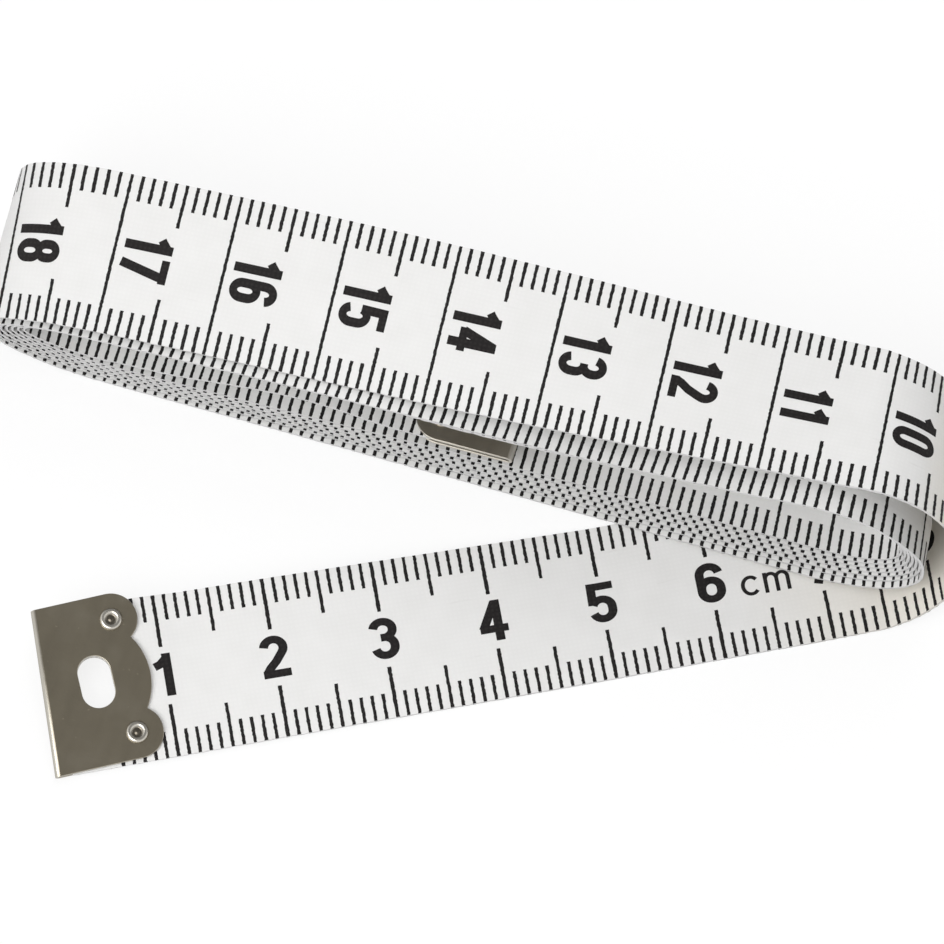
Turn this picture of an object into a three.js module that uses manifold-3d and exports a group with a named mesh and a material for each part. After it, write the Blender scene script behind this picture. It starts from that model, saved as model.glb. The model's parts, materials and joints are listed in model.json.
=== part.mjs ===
// Cloth tape measure: a thin coated ribbon wound into a flat oblong coil, its outer lead drawn out on
// the table through a loose slanting loop, with a folded metal clip riveted over each end.
// Millimetres, +Z up, table at z = 0. X runs along the coil, Y from the tape's near edge to its far edge.

import * as THREE from 'three';
import { mergeVertices } from 'three/addons/utils/BufferGeometryUtils.js';
import Module from 'manifold-3d';

const degree = Math.PI / 180;

// Tape
const tapeLength = 1500;
const tapeWidth = 15;
const tapeThickness = 0.25;

// Coil: layers above and below a lens-shaped eye that is higher at its right end, set back from the loop,
// with the inner turns a little further back than the outer ones
const turns = 8;
const layerGap = 0.43;
const foldGap = 0.5;
const eyeHeight = 4.6;
const innerRun = 47;
const innerRise = 1;
const innerFlat = 6;
const coilSetback = 4.2;
const coilStagger = 0.6;

// Loop that lifts the tape off the table and over the right end of the coil
const loopAxisTilt = 14.6 * degree;
const loopSlant = 13.1 * degree;
const loopRise = 2.8;
const loopEndGap = 0.3;
const loopTwist = 5 * degree;

// Top run, which twists as it leaves the loop and untwists round the left bend
const topTwist = 13.4 * degree;
const topTwistLength = 48;
const topGap = 0.1;
const bendTwist = 6.7 * degree;
const bendTwistTurn = 125 * degree;

// Lead: three hinged stretches, then a flat run that ends under the coil
const runLength = 24.5;
const hingeSpacing = 15;
const tipLength = 20;
const hingeGap = 0.3;
const leadTwist = 13 * degree;
const coilStart = 4.5;

// End clips: sheet folded over the tape's end, scalloped on its open edge, pierced by a hang slot
const clipMetal = 0.3;
const clipClearance = 0.05;
const clipOverlap = 0.2;
const clipOverhang = 1.1;
const clipSkew = 2.5 * degree;
const clipShift = 0.25;
const foldLean = 4.5 * degree;
const foldShift = 0.23;
const clipFloorGap = 0.01;
const slotLength = 4.8;
const slotWidth = 3;
const slotOffset = 4.7;
const scallopDepth = 1;
const lobeRadius = 2.4;

// Rivets: a dished ring head above, a smaller closed head below
const rivetOffset = 7.25;
const shankRadius = 0.55;
const headRadius = 1.02;
const headHeight = 0.3;
const headRim = 0.1;
const dishRadius = 0.58;
const dishDepth = 0.16;
const tailRadius = 0.85;
const tailHeight = 0.22;
const tailChamfer = 0.15;
const rivetClearance = 0.05;

// Facets, and the spacing of the points on which the winding's least gap is measured
const bendStep = 12 * degree;
const runStep = 8;
const arcSegments = 9;
const rivetSides = 24;
const gapPointSpacing = 0.5;
const gapRailCount = 16;
const gapCellSize = 1.5;
const cutMargin = 0.4;
const slopeStep = 0.01;
const weldDistance = 1e-5;

// Values that follow from these
const pitch = tapeThickness + layerGap;
const halfWidth = tapeWidth / 2;
const halfThickness = tapeThickness / 2;
const leadLength = tipLength + 2 * hingeSpacing + runLength;
const hinges = [leadLength - runLength, tipLength + hingeSpacing, tipLength];
const clipInner = halfThickness + clipClearance;
const clipHalf = clipInner + clipMetal;
const clipHalfWidth = halfWidth + clipOverlap;
const clipReach = rivetOffset + lobeRadius;
const clipEnd = clipReach - clipOverhang + clipHalfWidth * Math.sin(clipSkew) + clipClearance;
const clipDrop = clipOverlap * Math.sin(leadTwist) + clipHalf * Math.cos(leadTwist) - halfThickness;
const clipLift = clipDrop + clipFloorGap;
const rivetSpan = clipHalfWidth - lobeRadius;
const xAxis = new THREE.Vector3(1, 0, 0);
const yAxis = new THREE.Vector3(0, 1, 0);
const zAxis = new THREE.Vector3(0, 0, 1);
const { clamp, euclideanModulo, lerp, smoothstep } = THREE.MathUtils;

const wasm = await Module();
wasm.setup();

// Middle of the interval's sign change, for a test that falls through zero
function solve(low, high, test) {
  for (let step = 0; step < 50; step += 1) {
    const middle = (low + high) / 2;
    if (test(middle) > 0) low = middle;
    else high = middle;
  }
  return (low + high) / 2;
}

// One place on the tape: its middle, the way it runs, and the way across from near edge to far edge
function station(place, travel, axis, roll) {
  const along = travel.clone().normalize();
  const level = axis.clone().addScaledVector(along, -axis.dot(along)).normalize();
  const across = level.clone().applyAxisAngle(along, roll);
  return { place, along, across, normal: along.clone().cross(across) };
}

// Bend radii of the layers, counted from the innermost, and the circles that the layers share
const outermost = turns - 2;
const rightRadius = (layer) => (eyeHeight + tapeThickness) / 2 + layer * pitch;
const leftRadius = (layer) => (foldGap + tapeThickness) / 2 + layer * pitch;
const leftBase = halfThickness;
const leftHeight = leftBase + pitch + leftRadius(outermost);
const topLeftHeight = leftHeight + leftRadius(outermost) + pitch + topGap + halfWidth * Math.sin(topTwist);
const topRadius = (topLeftHeight - leftBase) / 2;

// Slanting loop: the tape lies on a cylinder whose axis is turned from Y by the tilt,
// raised by as much as the slanted tape's trailing edge would dip under the table
const loopRadius = rightRadius(outermost) + (pitch + loopRise) / 2;
const loopOuter = loopRadius + halfThickness;
const loopDip = Math.hypot(loopOuter, halfWidth * Math.sin(loopSlant)) - loopOuter;
const rightHeight = halfThickness + loopDip + pitch + rightRadius(outermost);
const loopAxis = yAxis.clone().applyAxisAngle(zAxis, loopAxisTilt);
const loopOut = xAxis.clone().applyAxisAngle(zAxis, loopAxisTilt);

function loopAt(turned) {
  const travel = loopOut.clone().multiplyScalar(Math.cos(turned)).addScaledVector(zAxis, Math.sin(turned));
  travel.multiplyScalar(Math.cos(loopSlant)).addScaledVector(loopAxis, Math.sin(loopSlant));
  const place = loopOut.clone().multiplyScalar(loopRadius * Math.sin(turned));
  place.addScaledVector(loopAxis, loopRadius * Math.tan(loopSlant) * turned);
  place.z += halfThickness + loopDip + loopRadius * (1 - Math.cos(turned));
  return station(place, travel, loopAxis, loopTwist * smoothstep(turned, Math.PI / 2, Math.PI));
}

const loopFront = loopAt(Math.PI / 2).place.x;
const loopReach = halfWidth * Math.sin(loopAxisTilt) * Math.cos(loopSlant) + pitch + loopEndGap;
const rightCentre = new THREE.Vector2(loopFront - loopReach - rightRadius(outermost), rightHeight);

// Lead on the table: the near edge lies straight, the far edge rises towards the clip
const leadAlong = xAxis.clone().applyAxisAngle(zAxis, loopAxisTilt + loopSlant);
const leadAcross = yAxis.clone().applyAxisAngle(zAxis, loopAxisTilt + loopSlant);

function leadAt(s) {
  const twist = leadTwist * clamp((hinges[0] - s) / (hinges[0] - clipEnd), 0, 1);
  const clipRise = clipLift * (1 - smoothstep(s, clipEnd, hinges[0]));
  const loopRiseIn = loopDip * smoothstep(s, leadLength - coilStart, leadLength);
  const across = leadAcross.clone().applyAxisAngle(leadAlong, twist);
  const place = leadAlong.clone().multiplyScalar(s - leadLength);
  place.addScaledVector(leadAcross, -halfWidth).addScaledVector(across, halfWidth);
  place.z += halfThickness + clipRise + loopRiseIn;
  return { place, along: leadAlong, across, normal: leadAlong.clone().cross(across) };
}

// Outward normal of the straight run that is tangent to two bends, on the upper or the lower side
function runNormal(from, fromRadius, to, toRadius, side) {
  const reach = to.clone().sub(from);
  const lean = (fromRadius - toRadius) / reach.length();
  const square = new THREE.Vector2(-reach.y, reach.x).normalize();
  if (square.y * side < 0) square.negate();
  return reach.normalize().multiplyScalar(lean).addScaledVector(square, Math.sqrt(1 - lean * lean));
}

// The whole tape as stretches in order, each with its length and a function that gives its stations
function layOut(span) {
  const leftCentre = new THREE.Vector2(rightCentre.x - span, leftHeight);
  const topCentre = new THREE.Vector2(leftCentre.x, leftBase + topRadius);
  const stretches = [];
  let total = 0;
  const add = (length, steps, at) => {
    stretches.push({ start: total, length, steps, at });
    total += length;
  };

  // Lead and loop, turned far enough that the top run is tangent to the left bend
  const topLine = (turned) => {
    const { place, along } = loopAt(turned);
    const heading = new THREE.Vector2(along.x, along.z);
    const inward = new THREE.Vector2(-heading.y, heading.x).normalize();
    const offset = topCentre.clone().sub(new THREE.Vector2(place.x, place.z));
    const run = offset.dot(heading) / heading.lengthSq();
    return { place, along, inward, run, miss: offset.dot(inward) - topRadius };
  };
  const loopTurn = solve(Math.PI / 2, 1.5 * Math.PI, (turned) => topLine(turned).miss);
  const loopLength = loopRadius * loopTurn / Math.cos(loopSlant);
  add(clipEnd, 1, leadAt);
  add(leadLength - clipEnd, Math.ceil(leadLength / runStep), (d) => leadAt(clipEnd + d));
  add(loopLength, Math.ceil(loopTurn / bendStep) * 2, (d) => loopAt(d / loopLength * loopTurn));

  // Top run, twisting as it goes
  const top = topLine(loopTurn);
  add(top.run, Math.ceil(top.run / runStep) * 2, (d) => {
    const twist = lerp(topTwist, bendTwist, smoothstep(d, top.run - topRadius, top.run));
    const roll = lerp(loopTwist, -twist, smoothstep(d, 0, topTwistLength));
    const axis = loopAxis.clone().lerp(yAxis, smoothstep(d, 0, top.run));
    return station(top.place.clone().addScaledVector(top.along, d), top.along, axis, roll);
  });

  // Stations of the flat spiral: a point and a heading in the XZ plane, drifting to the coil's own Y
  const driftStart = total;
  const driftLength = Math.PI * topRadius + span;
  const driftFrom = top.place.y + top.along.y * top.run;
  const flatAt = (s, point, heading, roll = 0) => {
    const x = clamp((s - driftStart) / driftLength, 0, 1);
    const fade = (1 - x) * (1 - x);
    const settle = (driftFrom - coilSetback) * fade * (1 + 2 * x) + top.along.y * driftLength * x * fade;
    const y = coilSetback + settle + coilStagger * (s - driftStart) / (tapeLength - driftStart);
    const travel = new THREE.Vector3(heading.x, top.along.y * fade, heading.y);
    return station(new THREE.Vector3(point.x, y, point.y), travel, yAxis, roll);
  };
  const addBend = (centre, radius, fromAngle, toAngle, rollAt = () => 0) => {
    const sweep = euclideanModulo(toAngle - fromAngle, 2 * Math.PI);
    const start = total;
    add(radius * sweep, Math.ceil(sweep / bendStep), (d) => {
      const angle = fromAngle + d / radius;
      const out = new THREE.Vector2(Math.cos(angle), Math.sin(angle));
      const point = out.clone().multiplyScalar(radius).add(centre);
      return flatAt(start + d, point, new THREE.Vector2(-out.y, out.x), rollAt(d / radius));
    });
  };
  const addRun = (from, fromRadius, to, toRadius, normal) => {
    const begin = from.clone().addScaledVector(normal, fromRadius);
    const end = to.clone().addScaledVector(normal, toRadius);
    const heading = end.clone().sub(begin).normalize();
    const start = total;
    const length = begin.distanceTo(end);
    const steps = start < driftStart + driftLength ? Math.ceil(length / runStep) : 1;
    add(length, steps, (d) => flatAt(start + d, begin.clone().addScaledVector(heading, d), heading));
  };

  // Spiral, from the bend that untwists the top run inwards
  const untwist = (turned) => -bendTwist * (1 - smoothstep(turned, 0, bendTwistTurn));
  let normal = runNormal(topCentre, topRadius, rightCentre, rightRadius(outermost), -1);
  let angle = top.inward.clone().negate().angle();
  addBend(topCentre, topRadius, angle, normal.angle(), untwist);
  addRun(topCentre, topRadius, rightCentre, rightRadius(outermost), normal);
  for (let layer = outermost; layer >= 0; layer -= 1) {
    const right = rightRadius(layer);
    const left = leftRadius(layer);
    angle = normal.angle();
    normal = runNormal(rightCentre, right, leftCentre, left, 1);
    addBend(rightCentre, right, angle, normal.angle());
    addRun(rightCentre, right, leftCentre, left, normal);
    angle = normal.angle();
    normal = runNormal(leftCentre, left, rightCentre, right - pitch, -1);
    addBend(leftCentre, left, angle, normal.angle());
    if (layer > 0) addRun(leftCentre, left, rightCentre, right - pitch, normal);
  }

  // Inner end, springing up into the eye and then straight through its clip
  const begin = leftCentre.clone().addScaledVector(normal, leftRadius(0));
  const heading = new THREE.Vector2(-normal.y, normal.x);
  const innerStart = total;
  const straightStart = innerRun - clipReach - tapeThickness;
  const riseAt = (d) => innerRise * smoothstep(d, innerFlat, straightStart);
  add(innerRun, Math.ceil(innerRun / runStep) * 2, (d) => {
    const slope = (riseAt(d + slopeStep) - riseAt(d - slopeStep)) / (2 * slopeStep);
    const point = begin.clone().addScaledVector(heading, d).addScaledVector(normal, -riseAt(d));
    return flatAt(innerStart + d, point, heading.clone().addScaledVector(normal, -slope));
  });
  return { stretches, total };
}

const coilSpan = solve(0, tapeLength / turns, (span) => tapeLength - layOut(span).total);
const { stretches } = layOut(coilSpan);

function tapeAt(s) {
  const stretch = stretches.findLast(({ start }) => s >= start);
  return stretch.at(Math.min(s - stretch.start, stretch.length));
}

// Lengths along the tape at which it gets a ring of corners, close together in bends and twists
function ringPlaces(from, to) {
  const places = [from];
  for (const { start, length, steps } of stretches) {
    for (let step = 0; step < steps; step += 1) {
      const s = start + length * step / steps;
      if (s > from + hingeGap && s < to - hingeGap) places.push(s);
    }
  }
  places.push(to);
  return places;
}

function ribbonGeometry(from, to) {
  const places = ringPlaces(from, to);
  const positions = [];
  for (const s of places) {
    const { place, across, normal } = tapeAt(s);
    for (const [u, v] of [[-1, -1], [1, -1], [1, 1], [-1, 1]]) {
      const corner = place.clone().addScaledVector(across, u * halfWidth);
      corner.addScaledVector(normal, v * halfThickness);
      positions.push(corner.x, corner.y, corner.z);
    }
  }
  const index = [0, 2, 1, 0, 3, 2];
  for (let ring = 0; ring + 1 < places.length; ring += 1) {
    for (let side = 0; side < 4; side += 1) {
      const a = ring * 4 + side;
      const b = ring * 4 + (side + 1) % 4;
      index.push(a, b, b + 4, a, b + 4, a + 4);
    }
  }
  const last = (places.length - 1) * 4;
  index.push(last, last + 1, last + 2, last, last + 2, last + 3);
  const geometry = new THREE.BufferGeometry();
  geometry.setAttribute('position', new THREE.Float32BufferAttribute(positions, 3));
  geometry.setIndex(index);
  return geometry;
}

// Points over the tape's middle surface, each with its length along the tape
function windingPoints(from, to) {
  const places = ringPlaces(from, to);
  const points = [];
  for (let ring = 0; ring + 1 < places.length; ring += 1) {
    const length = places[ring + 1] - places[ring];
    const ends = [tapeAt(places[ring]), tapeAt(places[ring + 1])];
    const steps = Math.ceil(length / gapPointSpacing);
    for (let step = 0; step < steps; step += 1) {
      for (let rail = 0; rail < gapRailCount; rail += 1) {
        const u = (rail / (gapRailCount - 1) * 2 - 1) * halfWidth;
        const [near, far] = ends.map(({ place, across }) => place.clone().addScaledVector(across, u));
        points.push({ s: places[ring] + length * step / steps, point: near.lerp(far, step / steps) });
      }
    }
  }
  return points;
}

// Least clear gap between parts of the winding that are apart along the tape
function leastGap(from, to) {
  const apart = Math.PI * pitch / 2 + gapPointSpacing;
  const shifts = [-1, 0, 1];
  const cells = new Map();
  let least = Infinity;
  for (const { s, point } of windingPoints(from, to)) {
    const [x, y, z] = point.toArray().map((value) => Math.floor(value / gapCellSize));
    for (const shift of shifts.flatMap((a) => shifts.flatMap((b) => shifts.map((c) => [a, b, c])))) {
      for (const other of cells.get(`${x + shift[0]},${y + shift[1]},${z + shift[2]}`) ?? []) {
        if (s - other.s > apart) least = Math.min(least, point.distanceTo(other.point));
      }
    }
    const home = `${x},${y},${z}`;
    if (!cells.has(home)) cells.set(home, []);
    cells.get(home).push({ s, point });
  }
  return least - tapeThickness;
}

// Boolean cuts on closed meshes
function solidOf(geometry) {
  const bare = geometry.clone();
  bare.deleteAttribute('normal');
  bare.deleteAttribute('uv');
  const merged = mergeVertices(bare, weldDistance);
  const vertProperties = Float32Array.from(merged.attributes.position.array);
  const triVerts = Uint32Array.from(merged.index.array);
  return new wasm.Manifold(new wasm.Mesh({ numProp: 3, vertProperties, triVerts }));
}

function geometryOf(solid) {
  const mesh = solid.getMesh();
  const geometry = new THREE.BufferGeometry();
  geometry.setAttribute('position', new THREE.Float32BufferAttribute(mesh.vertProperties, 3));
  geometry.setIndex(new THREE.Uint32BufferAttribute(mesh.triVerts, 1));
  return geometry;
}

// Clip outline seen square to the tape: X from the fold towards the tape, Y across it
function clipOutline(foldReach) {
  const notch = Math.acos((lobeRadius - scallopDepth) / lobeRadius);
  const bayHalf = rivetSpan - lobeRadius * Math.sin(notch);
  const bayRadius = (bayHalf * bayHalf + scallopDepth * scallopDepth) / (2 * scallopDepth);
  const bayAngle = Math.asin(bayHalf / bayRadius);
  const outline = new THREE.Path().moveTo(-foldReach, -clipHalfWidth).lineTo(rivetOffset, -clipHalfWidth);
  outline.absarc(rivetOffset, -rivetSpan, lobeRadius, -Math.PI / 2, notch, false);
  outline.absarc(clipReach - bayRadius, 0, bayRadius, -bayAngle, bayAngle, false);
  outline.absarc(rivetOffset, rivetSpan, lobeRadius, -notch, Math.PI / 2, false);
  return outline.lineTo(-foldReach, clipHalfWidth).closePath();
}

// Slot and rivet holes, which pass through the clip and the tape alike
function piercings() {
  const end = (slotLength - slotWidth) / 2;
  const slot = new THREE.Path().absarc(slotOffset, end, slotWidth / 2, 0, Math.PI, false);
  slot.absarc(slotOffset, -end, slotWidth / 2, Math.PI, 2 * Math.PI, false).closePath();
  const holes = [-rivetSpan, rivetSpan].map((y) => {
    return new THREE.Path().absarc(rivetOffset, y, shankRadius + rivetClearance, 0, 2 * Math.PI, false);
  });
  return [slot, ...holes];
}

function cleanPoints(path) {
  const points = path.getPoints(arcSegments);
  return points.filter((point, i) => point.distanceTo(points[(i + 1) % points.length]) > weldDistance);
}

function prism(path, height, holes = []) {
  const shape = new THREE.Shape(cleanPoints(path));
  shape.holes = holes.map((hole) => new THREE.Path(cleanPoints(hole)));
  const body = new THREE.ExtrudeGeometry(shape, { depth: height, bevelEnabled: false });
  return body.translate(0, 0, -height / 2);
}

// Folded sheet: a U-shaped section across the tape, trimmed to the outline. Its fold may lean.
function clipGeometry(lean, shift) {
  const slope = Math.tan(lean);
  const foldReach = shift + clipHalfWidth * slope;
  const open = clipReach + foldReach + cutMargin;
  const section = new THREE.Path().moveTo(open, clipHalf).lineTo(clipHalf, clipHalf);
  section.absarc(clipHalf, 0, clipHalf, Math.PI / 2, 1.5 * Math.PI, false);
  section.lineTo(open, -clipHalf).lineTo(open, -clipInner);
  section.absarc(clipHalf, 0, clipInner, 1.5 * Math.PI, Math.PI / 2, true);
  section.lineTo(open, clipInner).closePath();
  const folded = prism(section, 2 * (clipHalfWidth + cutMargin)).rotateX(Math.PI / 2);
  folded.applyMatrix4(new THREE.Matrix4().makeShear(0, 0, slope, 0, 0, 0).setPosition(-shift, 0, 0));
  const trim = prism(clipOutline(foldReach), 2 * (clipHalf + cutMargin), piercings());
  return geometryOf(solidOf(folded).intersect(solidOf(trim)));
}

// Rivet turned about Z: shank through the clip, dished head above, smaller head below
function rivetGeometry() {
  const seat = clipHalf + rivetClearance;
  const foot = seat + tailHeight;
  const dish = seat + headHeight - dishDepth;
  const profile = [
    [0, -foot], [tailRadius - tailChamfer, -foot], [tailRadius, -foot + tailChamfer], [tailRadius, -seat],
    [shankRadius, -seat], [shankRadius, seat], [headRadius, seat], [headRadius, seat + headRim],
    [(headRadius + dishRadius) / 2, seat + headHeight], [dishRadius, dish], [0, dish],
  ];
  const points = profile.map(([radius, height]) => new THREE.Vector2(radius, height));
  return new THREE.LatheGeometry(points, rivetSides).rotateX(Math.PI / 2);
}

// Frame of the clip at one end of the tape, with X running from its fold along the tape
function endFrame(s, way, skew, shift) {
  const { place, along, across, normal } = tapeAt(s);
  const inward = along.clone().multiplyScalar(way);
  const frame = new THREE.Matrix4().makeBasis(inward, across.clone().multiplyScalar(way), normal);
  frame.setPosition(place.clone().addScaledVector(inward, -clipOverhang).addScaledVector(across, shift));
  return frame.multiply(new THREE.Matrix4().makeRotationZ(skew));
}

function cutForClip(geometry, frame) {
  let solid = solidOf(geometry);
  for (const path of piercings()) {
    const cutter = prism(path, 2 * (clipHalf + cutMargin)).applyMatrix4(frame);
    solid = solid.subtract(solidOf(cutter));
  }
  return geometryOf(solid);
}

// Assembly
const tapeColour = { color: 0xf0f0ee, roughness: 0.42, metalness: 0 };
const clipColour = { color: 0x6b6455, roughness: 0.34, metalness: 0.9 };
const rivetColour = { color: 0x7d776a, roughness: 0.28, metalness: 0.9 };
const model = new THREE.Group();

function addMesh(name, geometry, look, frame = new THREE.Matrix4()) {
  const mesh = new THREE.Mesh(geometry, new THREE.MeshStandardMaterial(look));
  mesh.name = name;
  mesh.applyMatrix4(frame);
  model.add(mesh);
}

const startFrame = endFrame(0, 1, clipSkew, clipShift);
const innerFrame = endFrame(tapeLength, -1, 0, 0);
const windingStart = leadLength - coilStart + hingeGap / 2;
const winding = ribbonGeometry(windingStart, tapeLength);
const tip = ribbonGeometry(0, hinges[2] - hingeGap / 2);
addMesh('tape_coil', cutForClip(winding, innerFrame), tapeColour);
addMesh('tape_run', ribbonGeometry(hinges[0] + hingeGap / 2, windingStart - hingeGap), tapeColour);
addMesh('tape_lead_inner', ribbonGeometry(hinges[1] + hingeGap / 2, hinges[0] - hingeGap / 2), tapeColour);
addMesh('tape_lead_middle', ribbonGeometry(hinges[2] + hingeGap / 2, hinges[1] - hingeGap / 2), tapeColour);
addMesh('tape_lead_tip', cutForClip(tip, startFrame), tapeColour);
const ends = [['start', startFrame, foldLean, foldShift], ['inner', innerFrame, 0, 0]];
for (const [end, frame, lean, shift] of ends) {
  addMesh(`${end}_clip`, clipGeometry(lean, shift), clipColour, frame);
  for (const [side, y] of [['near', -rivetSpan], ['far', rivetSpan]]) {
    const seat = frame.clone().multiply(new THREE.Matrix4().makeTranslation(rivetOffset, y, 0));
    addMesh(`${end}_rivet_${side}`, rivetGeometry(), rivetColour, seat);
  }
}

// Origin at the middle of the footprint, on the table
const footprint = new THREE.Box3().setFromObject(model, true);
model.position.set(-(footprint.min.x + footprint.max.x) / 2, -(footprint.min.y + footprint.max.y) / 2, 0);

// Bending lines of the lead, for the joints
model.userData.hinges = hinges.map((s) => {
  const { place, across } = tapeAt(s);
  return { point: place.clone().add(model.position).toArray(), axis: across.toArray() };
});
console.log(`least gap of the winding to itself: ${leastGap(windingStart, tapeLength).toFixed(3)} mm`);

export default model;
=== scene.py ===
import json
import math

import bmesh
import bpy
import numpy as np
from mathutils import Matrix, Vector


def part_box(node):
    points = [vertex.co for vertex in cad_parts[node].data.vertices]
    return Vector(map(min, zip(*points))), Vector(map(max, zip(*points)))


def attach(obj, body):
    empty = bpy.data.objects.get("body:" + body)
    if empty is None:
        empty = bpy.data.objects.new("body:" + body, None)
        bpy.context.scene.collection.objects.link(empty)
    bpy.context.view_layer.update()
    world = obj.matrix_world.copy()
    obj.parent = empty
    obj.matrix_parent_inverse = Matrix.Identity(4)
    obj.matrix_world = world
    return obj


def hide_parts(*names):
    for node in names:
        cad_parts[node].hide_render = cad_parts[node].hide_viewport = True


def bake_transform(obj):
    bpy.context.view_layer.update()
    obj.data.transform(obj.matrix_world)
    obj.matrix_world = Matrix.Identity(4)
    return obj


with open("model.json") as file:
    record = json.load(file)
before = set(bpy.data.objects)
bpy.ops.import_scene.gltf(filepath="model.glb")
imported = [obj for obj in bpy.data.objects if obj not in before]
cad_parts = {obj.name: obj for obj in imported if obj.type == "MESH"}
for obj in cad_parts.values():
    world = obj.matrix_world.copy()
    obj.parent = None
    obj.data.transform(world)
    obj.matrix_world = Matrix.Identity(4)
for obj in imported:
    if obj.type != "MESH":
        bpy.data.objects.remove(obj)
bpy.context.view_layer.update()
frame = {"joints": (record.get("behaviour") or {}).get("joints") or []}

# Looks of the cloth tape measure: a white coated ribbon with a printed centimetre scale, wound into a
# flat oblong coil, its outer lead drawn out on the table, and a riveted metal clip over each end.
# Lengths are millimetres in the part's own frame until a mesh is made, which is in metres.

MM = 0.001
X, Y, Z = np.eye(3)

# Tape
TAPE_LENGTH = 1500.0
TAPE_WIDTH = 15.0
TAPE_THICKNESS = 0.25
HALF_WIDTH = TAPE_WIDTH / 2
HALF_THICKNESS = TAPE_THICKNESS / 2
EDGE_RAGGEDNESS = 0.03
EDGE_SEED = 3
PATH_STEP = 0.2
BEND_POINTS = 160
COLUMNS = 8
RING_STEP = 0.5
RING_LEAST = 0.1
TAPE_SHARP = math.radians(40)

# Lead on the table, from the tape's start to the loop
LEAD_LENGTH = 74.5
LEAD_BENDS = (50.0, 35.0, 20.0)
BEND_REACH = 7.0
BAND_ENDS = (62.25, 42.25, 27.25)
END_BAND = 12.25
LEAD_TWIST = math.radians(13)
LEAD_EASE = 0.2
LEAD_EASE_SPAN = (-2.0, 4.0)
LOOP_RISE_START = 70.0

# Slanting loop that lifts the tape off the table, and the top run that twists as it leaves it
LOOP_RADIUS = 8.245
LOOP_SLANT = math.radians(13.1)
LOOP_TWIST = math.radians(8)
LOOP_SAG = 0.42
LOOP_OUTER = LOOP_RADIUS + HALF_THICKNESS
LOOP_DIP = math.hypot(LOOP_OUTER, HALF_WIDTH * math.sin(LOOP_SLANT)) - LOOP_OUTER
TOP_TWIST = math.radians(13.4)
TOP_TWIST_LENGTH = 52.0
TOP_SHIFT = 1.1
UNTWIST_TURN = math.radians(65)
TOP_BEND_HALF = (11.7, 5.1)
TOP_BEND_CENTRE = (-33.3, 5.24)

# Flat coil: oval bends at its two ends, packed closer towards the left. Its ends lie a little askew.
COIL_LAYERS = 7
RIGHT_HALF = (11.0, 7.04)
RIGHT_HALF_STEP = (0.65, 0.5)
RIGHT_TIP = 43.95
RIGHT_TIP_STEP = 0.4
RIGHT_HEIGHT = 7.66
RIGHT_SHEAR = -0.12
RIGHT_SHEAR_FROM = 15.0
LEFT_HALF = (11.9, 3.93)
LEFT_HALF_STEP = (0.53, 0.29)
LEFT_CENTRE = (-32.3, 4.37)
INNER_BEND_HALF = (6.5, 1.85)
INNER_BEND_CENTRE = (-34.5, 4.45)
LEFT_SHEAR = -0.06
LEFT_SHEAR_FROM = -28.0

# Depth, slant, setback, peeking run and wave of the coil. A hump is its height, place and spread along X.
COIL_DEPTH = 18.57
COIL_SLANT = -0.0107
SETBACK_LEFT = 0.1
SETBACK_GAIN = 0.12
SETBACK_FIRST = 0.27
SETBACK_SPAN = (-42.87, 22.13)
PEEK = (0.5, 4.0, 14.0)
PEEK_TURN = 1.5
PEEK_TURN_REACH = 0.25
WAVE_HEIGHT = 0.04
WAVE_LENGTH = 9.0
WAVE_EASE = 200.0

# Crown and sag of the upper runs, which are not quite straight
CROWN = (0.9, 38.0, 6.0)
SAG = (-0.75, 12.0, 15.0)
SHAPE_FADE = 0.8
UPPER_ROLL = math.radians(3)
UPPER_ROLL_SPAN = (0.0, 25.0)
UPPER_ROLL_RISE = 3.0

# Inner end, which springs up inside the eye and runs through its clip. A knot is its X, Z and slope.
INNER_EXIT = math.radians(10)
INNER_RISE = (-25.4, 3.8, 0.29)
INNER_CREST = (-11.87, 7.05, 0.0)
INNER_CLIP_SLOPE = 0.01
INNER_FORWARD = 3.0

# End clips and rivets
CLIP_METAL = 0.3
CLIP_CLEARANCE = 0.05
CLIP_OVERLAP = 0.2
CLIP_OVERHANG = 1.1
CLIP_SKEW = math.radians(2.5)
CLIP_SHIFT = 0.25
CLIP_INNER = HALF_THICKNESS + CLIP_CLEARANCE
CLIP_HALF = CLIP_INNER + CLIP_METAL
CLIP_MIDDLE = (CLIP_INNER + CLIP_HALF) / 2
CLIP_HALF_WIDTH = HALF_WIDTH + CLIP_OVERLAP
LOBE_RADIUS = 2.4
SCALLOP_DEPTH = 1.0
SLOT_LENGTH = 4.8
SLOT_WIDTH = 3.0
SLOT_OFFSET = 4.7
RIVET_OFFSET = 7.25
RIVET_SPAN = CLIP_HALF_WIDTH - LOBE_RADIUS
CLIP_REACH = RIVET_OFFSET + LOBE_RADIUS
CLIP_END = CLIP_REACH - CLIP_OVERHANG + CLIP_HALF_WIDTH * math.sin(CLIP_SKEW) + CLIP_CLEARANCE
TABLE_GAP = 0.01
CLIP_LIFT = CLIP_OVERLAP * math.sin(LEAD_TWIST) + CLIP_HALF * math.cos(LEAD_TWIST)
CLIP_LIFT += TABLE_GAP - HALF_THICKNESS
SHANK_RADIUS = 0.55
SHANK_HOLE = 0.6
EDGE_ROUND = 0.06
EDGE_LEAST = 0.4
# Painted highlight: how much brighter the plate is painted on its rounded edges and along the upper half of
# its fold
EDGE_PAINTED_HIGHLIGHT = 0.45
FOLD_PAINTED_HIGHLIGHT = 0.6
FOLD_STEPS = 12
MERGE_DISTANCE = 1e-3
SHEET_SHARP = math.radians(30)

# How far a clip's fold lies from the square one: its slope along the width, and its shift
CROOKED_FOLD = (math.tan(math.radians(4.5)), -0.23)
SQUARE_FOLD = (0.0, 0.0)

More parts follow.
